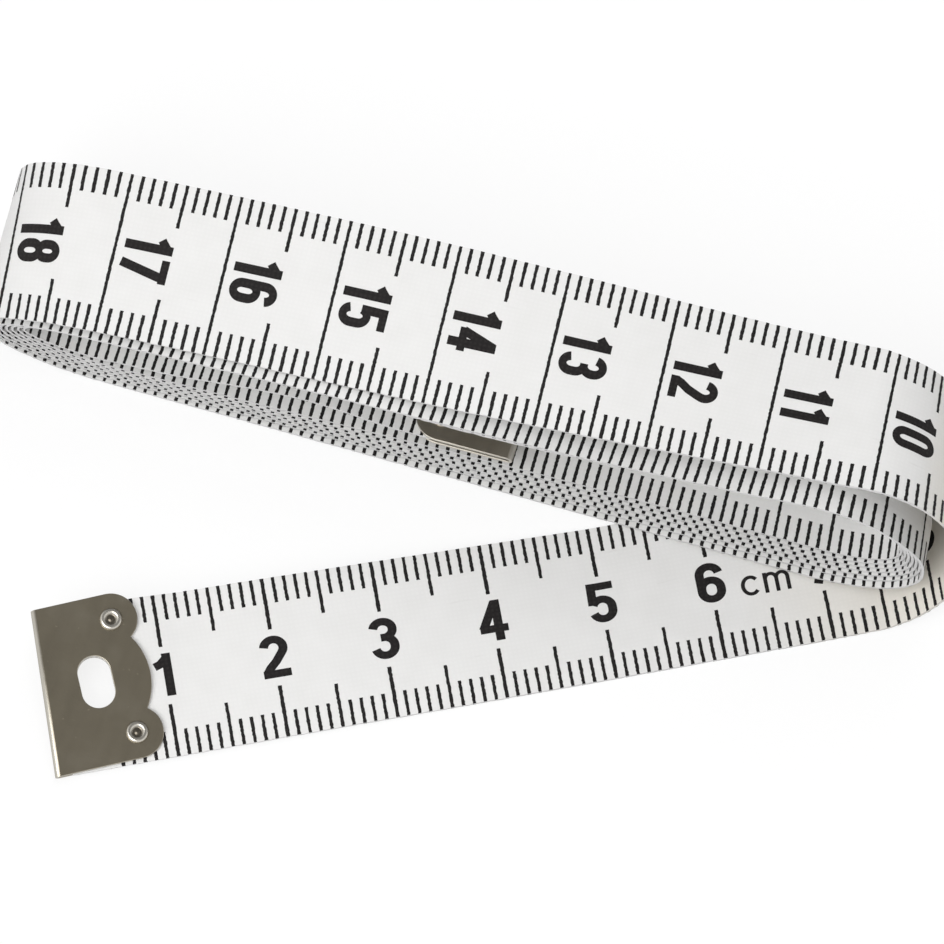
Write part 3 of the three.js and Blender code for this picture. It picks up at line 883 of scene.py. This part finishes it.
def rim(metal, points, closed, height):
    """Rounded wall along an outline. Returns its upper and lower rows of vertices."""
    inward = mitres(points, closed, EDGE_LEAST)
    rows = []
    for part, level in EDGE_LEVELS:
        # Painted highlight, brighter towards the rounded edge
        wear = EDGE_PAINTED_HIGHLIGHT * (1 - part)
        z = height + level * CLIP_METAL / 2
        rows.append([metal.vertex(x, y, z, wear) for x, y in points + inward * (EDGE_ROUND * part)])
    metal.skin(rows, closed)
    return rows[0], rows[-1]


def leaf(metal, height, lean):
    """Flat leaf with its slot and rivet holes, open at the fold."""
    outlines = [(clip_chain(lean), False)] + [(hole, True) for hole in clip_holes()]
    rims = [rim(metal, points, closed, height) for points, closed in outlines]
    for rows in zip(*rims):
        edges = [metal.edge(row[i - 1], row[i]) for row in rows for i in range(len(row))]
        bmesh.ops.triangle_fill(metal.mesh, use_beauty=True, edges=edges)


def fold(metal, lean):
    """Half round that joins the two leaves. Its line may lean."""
    sections = []
    for angle in np.linspace(math.pi / 2, -math.pi / 2, FOLD_STEPS + 1):
        section = []
        for side in (-1, 1):
            levels = EDGE_LEVELS if side < 0 else EDGE_LEVELS[::-1]
            for part, level in levels:
                radius = CLIP_MIDDLE + level * CLIP_METAL / 2
                y = side * (CLIP_HALF_WIDTH - EDGE_ROUND * part)
                x = CLIP_HALF + np.polyval(lean, y) - radius * math.cos(angle)
                # Painted highlight on the rounded edges and along the upper half of the fold
                wear = max(EDGE_PAINTED_HIGHLIGHT * (1 - part), FOLD_PAINTED_HIGHLIGHT * math.sin(2 * angle))
                section.append(metal.vertex(x, y, radius * math.sin(angle), wear))
        sections.append(section)
    metal.skin(sections)


def clip(name, place, material, lean):
    """Sheet of flat leaves with rounded edges that carry a painted highlight."""
    metal = Metal()
    leaf(metal, CLIP_MIDDLE, lean)
    leaf(metal, -CLIP_MIDDLE, lean)
    fold(metal, lean)
    obj = metal.object(name, place, material, SHEET_SHARP)
    for polygon in obj.data.polygons:
        polygon.use_smooth = len(polygon.vertices) > 3
    return obj


# Rivet profile as radius and height over the clip's face: ring head with a dish, then its closed tail
RIVET_HEAD = (
    (0.0, 0.16), (0.08, 0.155), (0.16, 0.13), (0.24, 0.10), (0.34, 0.085), (0.42, 0.10), (0.48, 0.145),
    (0.53, 0.20), (0.59, 0.25), (0.66, 0.283), (0.74, 0.295), (0.82, 0.283), (0.89, 0.25), (0.95, 0.195),
    (0.99, 0.13), (1.015, 0.06), (1.02, 0.0),
)
RIVET_TAIL = ((0.85, 0.0), (0.85, 0.08), (0.80, 0.16), (0.70, 0.21), (0.45, 0.22), (0.0, 0.22))
RIVET_SIDES = 48
# Painted highlight on the rivet's ring and tail; the dish keeps the dark colour as painted shade
RIVET_PAINTED_HIGHLIGHT_SPAN = (0.4, 0.6)
RIVET_SHARP = math.radians(50)


def rivet(name, place, material):
    seat = CLIP_HALF + CLIP_CLEARANCE
    profile = [(radius, seat + height) for radius, height in RIVET_HEAD]
    profile += [(SHANK_RADIUS, seat), (SHANK_RADIUS, -seat)]
    profile += [(radius, -seat - height) for radius, height in RIVET_TAIL]
    metal = Metal()
    rows = []
    for radius, height in profile:
        # Painted highlight on the ring, painted shade in the dish
        wear = float(smoothstep(radius, *RIVET_PAINTED_HIGHLIGHT_SPAN))
        angles = np.linspace(0, 2 * math.pi, RIVET_SIDES if radius > 0 else 1, endpoint=False)
        rows.append([metal.vertex(*radius * out_from(angle), height, wear) for angle in angles])
    metal.skin(rows)
    return metal.object(name, place, material, RIVET_SHARP)


def clip_place(tape, ring, way, skew, shift):
    """Matrix of a clip's own frame at a ring of the tape: X from its fold along the tape, Z square to it."""
    columns = [way * tape.along[ring], way * tape.across[ring], tape.normal[ring]]
    axes = Matrix(np.column_stack(columns).tolist()).to_4x4()
    origin = Vector(tape.place[ring]) + axes @ Vector((-CLIP_OVERHANG, shift, 0))
    return Matrix.Translation(origin * MM) @ axes @ Matrix.Rotation(skew, 4, "Z")


def pierce(obj, place):
    """Cuts the clip's slot and rivet holes through a band."""
    cutters = []
    for index, loop in enumerate(clip_holes()):
        shape = bmesh.new()
        bottom = [shape.verts.new((x * MM, y * MM, -CLIP_HALF * MM)) for x, y in loop]
        face = shape.faces.new(bottom)
        top = bmesh.ops.extrude_face_region(shape, geom=[face])
        moved = [item for item in top["geom"] if isinstance(item, bmesh.types.BMVert)]
        bmesh.ops.translate(shape, verts=moved, vec=Vector((0, 0, 2 * CLIP_HALF * MM)))
        cutter = finish_mesh(shape, f"cutter_{index}", place, obj.data.materials[0], SHEET_SHARP)
        modifier = obj.modifiers.new(f"cut_{index}", "BOOLEAN")
        modifier.operation = "DIFFERENCE"
        modifier.solver = "EXACT"
        modifier.object = cutter
        cutters.append(cutter)
    graph = bpy.context.evaluated_depsgraph_get()
    mesh = bpy.data.meshes.new_from_object(obj.evaluated_get(graph))
    obj.modifiers.clear()
    obj.data = mesh
    mesh.set_sharp_from_angle(angle=TAPE_SHARP)
    for cutter in cutters:
        bpy.data.objects.remove(cutter)


# Materials
class Nodes:
    """Shader nodes of one material or world, added with their inputs."""

    def __init__(self, owner, shader="Principled BSDF"):
        owner.use_nodes = True
        self.owner = owner
        self.tree = owner.node_tree
        self.shader = self.tree.nodes[shader]

    def feed(self, node, inputs):
        """Gives a node's inputs plain values or other nodes' outputs."""
        for key, value in inputs.items():
            if isinstance(value, bpy.types.NodeSocket):
                self.tree.links.new(value, node.inputs[key])
            else:
                node.inputs[key].default_value = value

    def add(self, kind, inputs=None, **settings):
        node = self.tree.nodes.new(kind)
        for key, value in settings.items():
            setattr(node, key, value)
        self.feed(node, inputs or {})
        return node

    def math(self, operation, a, b):
        return self.add("ShaderNodeMath", {0: a, 1: b}, operation=operation).outputs[0]

    def noise(self, coordinates, scale, detail, stretch=(1, 1, 1)):
        mapping = self.add("ShaderNodeMapping", {"Scale": stretch, "Vector": coordinates})
        inputs = {"Scale": scale, "Detail": detail, "Vector": mapping.outputs[0]}
        return self.add("ShaderNodeTexNoise", inputs).outputs["Fac"]

    def attribute(self, name):
        return self.add("ShaderNodeAttribute", attribute_name=name).outputs["Fac"]

    def ramp(self, value, *stops):
        node = self.add("ShaderNodeValToRGB", {"Fac": value})
        elements = node.color_ramp.elements
        while len(elements) < len(stops):
            elements.new(0.5)
        for element, (place, colour) in zip(elements, stops):
            element.position = place
            element.color = (*colour, 1)
        return node.outputs["Color"]

    def multiply(self, product, *colours):
        for colour in colours:
            inputs = {"Factor": 1, "A": product, "B": colour}
            node = self.add("ShaderNodeMix", inputs, data_type="RGBA", blend_type="MULTIPLY")
            product = node.outputs["Result"]
        return product

    def range(self, value, low, high):
        inputs = {"Value": value, "To Min": low, "To Max": high}
        return self.add("ShaderNodeMapRange", inputs).outputs["Result"]

    def bump(self, height, strength, distance):
        inputs = {"Height": height, "Strength": strength, "Distance": distance * MM}
        return self.add("ShaderNodeBump", inputs).outputs["Normal"]


# Glass-fibre threads under the coating: spacing, scale of the wave texture, and unevenness
WAVE_RATE = 20
THREAD_SPACING = 0.42
THREAD_SCALE = 2 * math.pi / WAVE_RATE / THREAD_SPACING
THREAD_RIPPLE = 0.6
THREAD_DETAIL = 2.0

# Colours of the tape, and what darkens or tints it: scuffs, threads, painted shade on the cut edges and
# painted warm light on the loop
WHITE = (1, 1, 1)
TAPE_DULL = (0.855, 0.85, 0.838)
TAPE_CLEAN = (0.885, 0.88, 0.87)
SCUFF_GREY = (0.94, 0.94, 0.935)
THREAD_GREY = (0.985, 0.985, 0.985)
# Painted shade: the tape's cut edges are painted grey, darkening the rows of edges in the coil's stack
CUT_EDGE_PAINTED_SHADE = (0.76, 0.76, 0.77)
# Painted warm light: a cream tint on the loop and on the end of the lead before it
LOOP_PAINTED_WARM_LIGHT = (1.0, 0.965, 0.895)

# Places of the painted warm light on the loop, as parts of this length from the tape's start
LOOP_WARM_LIGHT_SPAN = 100.0

# Ink, and the share of the threads in how it thins
INK_DENSE = (0.012, 0.0105, 0.0105)
INK_THIN = (0.026, 0.0225, 0.0225)
INK_THREAD_SHARE = 0.35

# Metals: name, dull colour, brighter colour of the painted highlight, and roughness
METALS = {
    "start_clip": ("satin_nickel", (0.3, 0.265, 0.2), (0.62, 0.6, 0.55), 0.34),
    # Painted light: the inner clip is the same nickel as the start clip, painted paler though it lies in the
    # shade under the top run
    "inner_clip": ("nickel_painted_paler", (0.4, 0.365, 0.305), (0.62, 0.6, 0.55), 0.34),
    # Rivet: its dark colour is painted shade in the dish, its bright one a painted highlight on the ring
    "rivet": ("pressed_nickel", (0.17, 0.15, 0.12), (0.6, 0.57, 0.51), 0.27),
}
POLISH = 0.08
DULLNESS = 0.1
PATCH_SHARE = 0.25
SPECK_LIGHT = (1.4, 1.4, 1.35)
STREAK_DARK = (0.93, 0.93, 0.93)
STREAK_LIGHT = (1.03, 1.03, 1.03)


def weave(nodes):
    """Threads along and across the tape, over its own length and width in millimetres."""
    place = nodes.add("ShaderNodeUVMap", uv_map="tape_millimetres").outputs["UV"]
    inputs = {"Vector": place, "Scale": THREAD_SCALE}
    inputs.update({"Distortion": THREAD_RIPPLE, "Detail Scale": THREAD_DETAIL})
    waves = [nodes.add("ShaderNodeTexWave", inputs, bands_direction=way).outputs["Fac"] for way in "XY"]
    return place, nodes.math("MULTIPLY", *waves)


def tape_material():
    """White coated weave: faint threads, slight mottling and a few grey scuffs, with painted shade on its
    cut edges and painted warm light on the loop.
    """
    nodes = Nodes(bpy.data.materials.new("coated_tape"))
    place, threads = weave(nodes)
    mottle = nodes.ramp(nodes.noise(place, scale=0.35, detail=4), (0.3, TAPE_DULL), (0.7, TAPE_CLEAN))
    scuff = nodes.noise(place, scale=0.9, detail=3, stretch=(0.25, 1.4, 1))
    scuffs = nodes.ramp(scuff, (0.0, WHITE), (0.70, WHITE), (0.78, SCUFF_GREY))
    fabric = nodes.ramp(threads, (0.0, THREAD_GREY), (0.6, WHITE))
    length = nodes.add("ShaderNodeSeparateXYZ", {0: place}).outputs["X"]
    share = nodes.math("MULTIPLY", length, 1 / LOOP_WARM_LIGHT_SPAN)
    # Painted warm light: cream over the loop, by length along the tape
    painted_warm_light = nodes.ramp(share, (0.62, WHITE), (0.78, LOOP_PAINTED_WARM_LIGHT), (0.92, LOOP_PAINTED_WARM_LIGHT), (0.96, WHITE))
    # Painted shade: grey on the faces of the cut edges
    edges = nodes.ramp(nodes.attribute("cut_edge"), (0.4, WHITE), (0.6, CUT_EDGE_PAINTED_SHADE))
    nodes.feed(nodes.shader, {
        "Base Color": nodes.multiply(mottle, scuffs, fabric, painted_warm_light, edges),
        "Roughness": nodes.range(nodes.noise(place, scale=1.6, detail=3), low=0.4, high=0.52),
        "Specular IOR Level": 0.35,
        "Normal": nodes.bump(threads, strength=0.12, distance=0.02),
    })
    return nodes.owner


def ink_material():
    """Black printing ink that thins a little over the threads."""
    nodes = Nodes(bpy.data.materials.new("printing_ink"))
    place, threads = weave(nodes)
    patches = nodes.noise(place, scale=2.5, detail=3)
    shares = ((threads, INK_THREAD_SHARE), (patches, 1 - INK_THREAD_SHARE))
    thin = nodes.math("ADD", *(nodes.math("MULTIPLY", value, share) for value, share in shares))
    nodes.feed(nodes.shader, {
        "Base Color": nodes.ramp(thin, (0.25, INK_DENSE), (0.75, INK_THIN)),
        "Roughness": nodes.range(patches, low=0.45, high=0.6),
        "Specular IOR Level": 0.2,
        "Normal": nodes.bump(threads, strength=0.15, distance=0.02),
    })
    return nodes.owner


def metal_material(name, dull, bright, roughness):
    """Nickel plate: fine scratches, small specks, dull patches, and a painted highlight on edges, fold and
    rivet ring.
    """
    nodes = Nodes(bpy.data.materials.new(name))
    place = nodes.add("ShaderNodeTexCoord").outputs["Object"]
    scratches = nodes.noise(place, scale=900, detail=4, stretch=(1, 14, 1))
    patches = nodes.noise(place, scale=260, detail=4)
    uneven = nodes.math("MULTIPLY", nodes.math("SUBTRACT", patches, 0.5), PATCH_SHARE)
    # Painted highlight from the vertices, made uneven by the dull patches
    highlight_and_patches = nodes.math("ADD", nodes.attribute("wear"), uneven)
    plate = nodes.ramp(highlight_and_patches, (0.0, dull), (0.85, bright))
    speck = nodes.noise(place, scale=2200, detail=1)
    specks = nodes.ramp(speck, (0.0, WHITE), (0.75, WHITE), (0.82, SPECK_LIGHT))
    streak = nodes.noise(place, scale=700, detail=3, stretch=(1, 0.06, 1))
    streaks = nodes.ramp(streak, (0.3, STREAK_DARK), (0.7, STREAK_LIGHT))
    spread = nodes.math("MULTIPLY", nodes.math("ADD", scratches, patches), 0.5)
    nodes.feed(nodes.shader, {
        "Base Color": nodes.multiply(plate, specks, streaks),
        "Roughness": nodes.range(spread, low=roughness - POLISH, high=roughness + DULLNESS),
        "Metallic": 1,
        "Normal": nodes.bump(scratches, strength=0.08, distance=0.02),
    })
    return nodes.owner


# Stage: soft lamps in front, above and behind, and a faint even fill
WORLD_LEVEL = 0.18

# Dim sides of the studio in reflections: axis, where the light begins and ends to fall, and the last level
DIM_SIDES = (("Z", 0.5, 0.95, 0.3), ("Y", 0.1, 0.65, 0.3))

# Floor
FLOOR_REACH = 3000.0
FLOOR_DROP = 0.02
FLOOR_COLOUR = (0.9, 0.9, 0.9, 1)
FLOOR_ROUGHNESS = 0.9
FLOOR_GLOW = 1.05
FLOOR_GLOW_SHARE = 0.78

# Lamps: name, place in metres, size, power, and whether metal mirrors it
LAMPS = (
    ("front", (-0.25, -0.55, 0.6), 0.7, 4.9, True),
    ("above", (0.05, 0.0, 0.9), 0.7, 2.0, False),
    ("behind", (0.1, 0.5, 0.45), 0.6, 1.4, False),
)


def floor_material():
    """White floor that stays white to the camera and in reflections, and keeps a faint shadow."""
    nodes = Nodes(bpy.data.materials.new("white_floor"))
    inputs = {"Base Color": FLOOR_COLOUR, "Roughness": FLOOR_ROUGHNESS, "Specular IOR Level": 0}
    nodes.feed(nodes.shader, inputs)
    rays = nodes.add("ShaderNodeLightPath").outputs
    seen = nodes.math("MAXIMUM", rays["Is Camera Ray"], rays["Is Glossy Ray"])
    share = nodes.math("MULTIPLY", seen, FLOOR_GLOW_SHARE)
    glow = nodes.add("ShaderNodeEmission", {"Strength": FLOOR_GLOW})
    mixed = nodes.add("ShaderNodeMixShader", {0: share, 1: nodes.shader.outputs[0], 2: glow.outputs[0]})
    nodes.feed(nodes.tree.nodes["Material Output"], {"Surface": mixed.outputs[0]})
    return nodes.owner


def add_floor():
    square = ((-1, -1), (1, -1), (1, 1), (-1, 1))
    corners = [(x * FLOOR_REACH, y * FLOOR_REACH, -FLOOR_DROP) for x, y in square]
    new_object("floor", corners, [(0, 1, 2, 3)], floor_material())


def add_world():
    """Soft studio: even light, white to the camera, with a dim ceiling and far side in reflections."""
    nodes = Nodes(bpy.data.worlds.new("studio"), "Background")
    bpy.context.scene.world = nodes.owner
    direction = nodes.add("ShaderNodeTexCoord").outputs["Generated"]
    split = nodes.add("ShaderNodeSeparateXYZ", {0: direction})
    falls = []
    for axis, low, high, dim in DIM_SIDES:
        inputs = {"From Min": low, "From Max": high, "To Min": 1, "To Max": dim}
        inputs["Value"] = split.outputs[axis]
        fall = nodes.add("ShaderNodeMapRange", inputs, interpolation_type="SMOOTHSTEP")
        falls.append(fall.outputs["Result"])
    rays = nodes.add("ShaderNodeLightPath").outputs
    level = WORLD_LEVEL
    for ray, light in (("Is Glossy Ray", nodes.math("MINIMUM", *falls)), ("Is Camera Ray", 1)):
        choice = nodes.add("ShaderNodeMix", {"Factor": rays[ray], "A": level, "B": light})
        level = choice.outputs["Result"]
    nodes.feed(nodes.shader, {"Color": (1, 1, 1, 1), "Strength": level})


def add_lamp(name, place, size, power, mirrored):
    lamp = bpy.data.lights.new(name, "AREA")
    lamp.shape = "DISK"
    lamp.size = size
    lamp.energy = power
    obj = add_object(name, lamp)
    obj.location = place
    obj.rotation_euler = (-Vector(place)).to_track_quat("-Z", "Y").to_euler()
    obj.visible_glossy = mirrored


def add_camera():
    back = Vector(unit(SIGHT_LINE))
    right = Vector((math.cos(CAMERA_AZIMUTH), math.sin(CAMERA_AZIMUTH), 0))
    up = back.cross(right)
    camera = bpy.data.cameras.new("camera")
    camera.lens = CAMERA_LENS
    camera.sensor_width = CAMERA_SENSOR
    camera.clip_start, camera.clip_end = CAMERA_CLIP
    obj = add_object("camera", camera)
    axes = Matrix((right, up, back)).transposed().to_4x4()
    place = (Vector(CAMERA_TARGET) + back * CAMERA_DISTANCE) * MM
    obj.matrix_world = Matrix.Translation(place) @ axes
    bpy.context.scene.camera = obj


# Assembly
def add_band(tape, materials, name, start, end, nodes, bodies, bend, piercing=None):
    """One stretch of the tape with its print, riding one body; a stretch with a bending line is left
    unattached, its transform baked in.
    """
    ribbon = band(tape, f"band_{name}", start, end, materials["tape"])
    if piercing is not None:
        pierce(ribbon, piercing)
    scale = print_scale(tape, f"scale_{name}", start, end, materials["ink"])
    for piece, slot in ((ribbon, "tape"), (scale, "scale_ink")):
        if bend is None:
            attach(piece, bodies[0])
        else:
            pivot = tape.points(lead_reading(bend), 0, 0) * MM
            far = tape.points(lead_reading(bend - BEND_REACH), 0, 0) * MM
            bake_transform(piece)
    if nodes:
        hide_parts(*nodes)


def add_end(name, body, place, lean, materials):
    """Clip at one end of the tape, with its two rivets."""
    cover = clip(f"{name}_clip_plate", place, materials[f"{name}_clip"], lean)
    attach(cover, body)
    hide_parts(f"{name}_clip")
    for side, y in (("near", -RIVET_SPAN), ("far", RIVET_SPAN)):
        seat = place @ Matrix.Translation(Vector((RIVET_OFFSET, y, 0)) * MM)
        pin = rivet(f"{name}_rivet_{side}_pin", seat, materials["rivet"])
        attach(pin, body)
        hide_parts(f"{name}_rivet_{side}")


def build():
    tape = Tape()
    materials = {"tape": tape_material(), "ink": ink_material()}
    materials.update({key: metal_material(*metal) for key, metal in METALS.items()})
    start_place = clip_place(tape, 0, 1, CLIP_SKEW, CLIP_SHIFT)
    inner_place = clip_place(tape, -1, -1, 0, 0)
    inner_end = TAPE_LENGTH - END_BAND
    first, second, third = LEAD_BENDS
    coil_end, inner_start, middle_start = BAND_ENDS
    leads = (
        ("tip", 0, middle_start, "lead_middle", third, start_place),
        ("middle", middle_start, inner_start, "lead_inner", second, None),
        ("inner", inner_start, coil_end, "coil", first, None),
    )
    for name, start, end, held_by, bend, piercing in leads:
        bodies = (held_by, f"lead_{name}")
        add_band(tape, materials, name, start, end, [f"tape_lead_{name}"], bodies, bend, piercing)
    coil_nodes = ["tape_coil", "tape_run"]
    add_band(tape, materials, "coil", coil_end, inner_end, coil_nodes, ("coil",), None)
    add_band(tape, materials, "end", inner_end, TAPE_LENGTH, [], ("coil",), None, inner_place)
    add_end("start", "lead_tip", start_place, CROOKED_FOLD, materials)
    add_end("inner", "coil", inner_place, SQUARE_FOLD, materials)


build()
add_floor()
add_world()
for lamp in LAMPS:
    add_lamp(*lamp)
add_camera()
bpy.context.scene.view_settings.view_transform = "Standard"
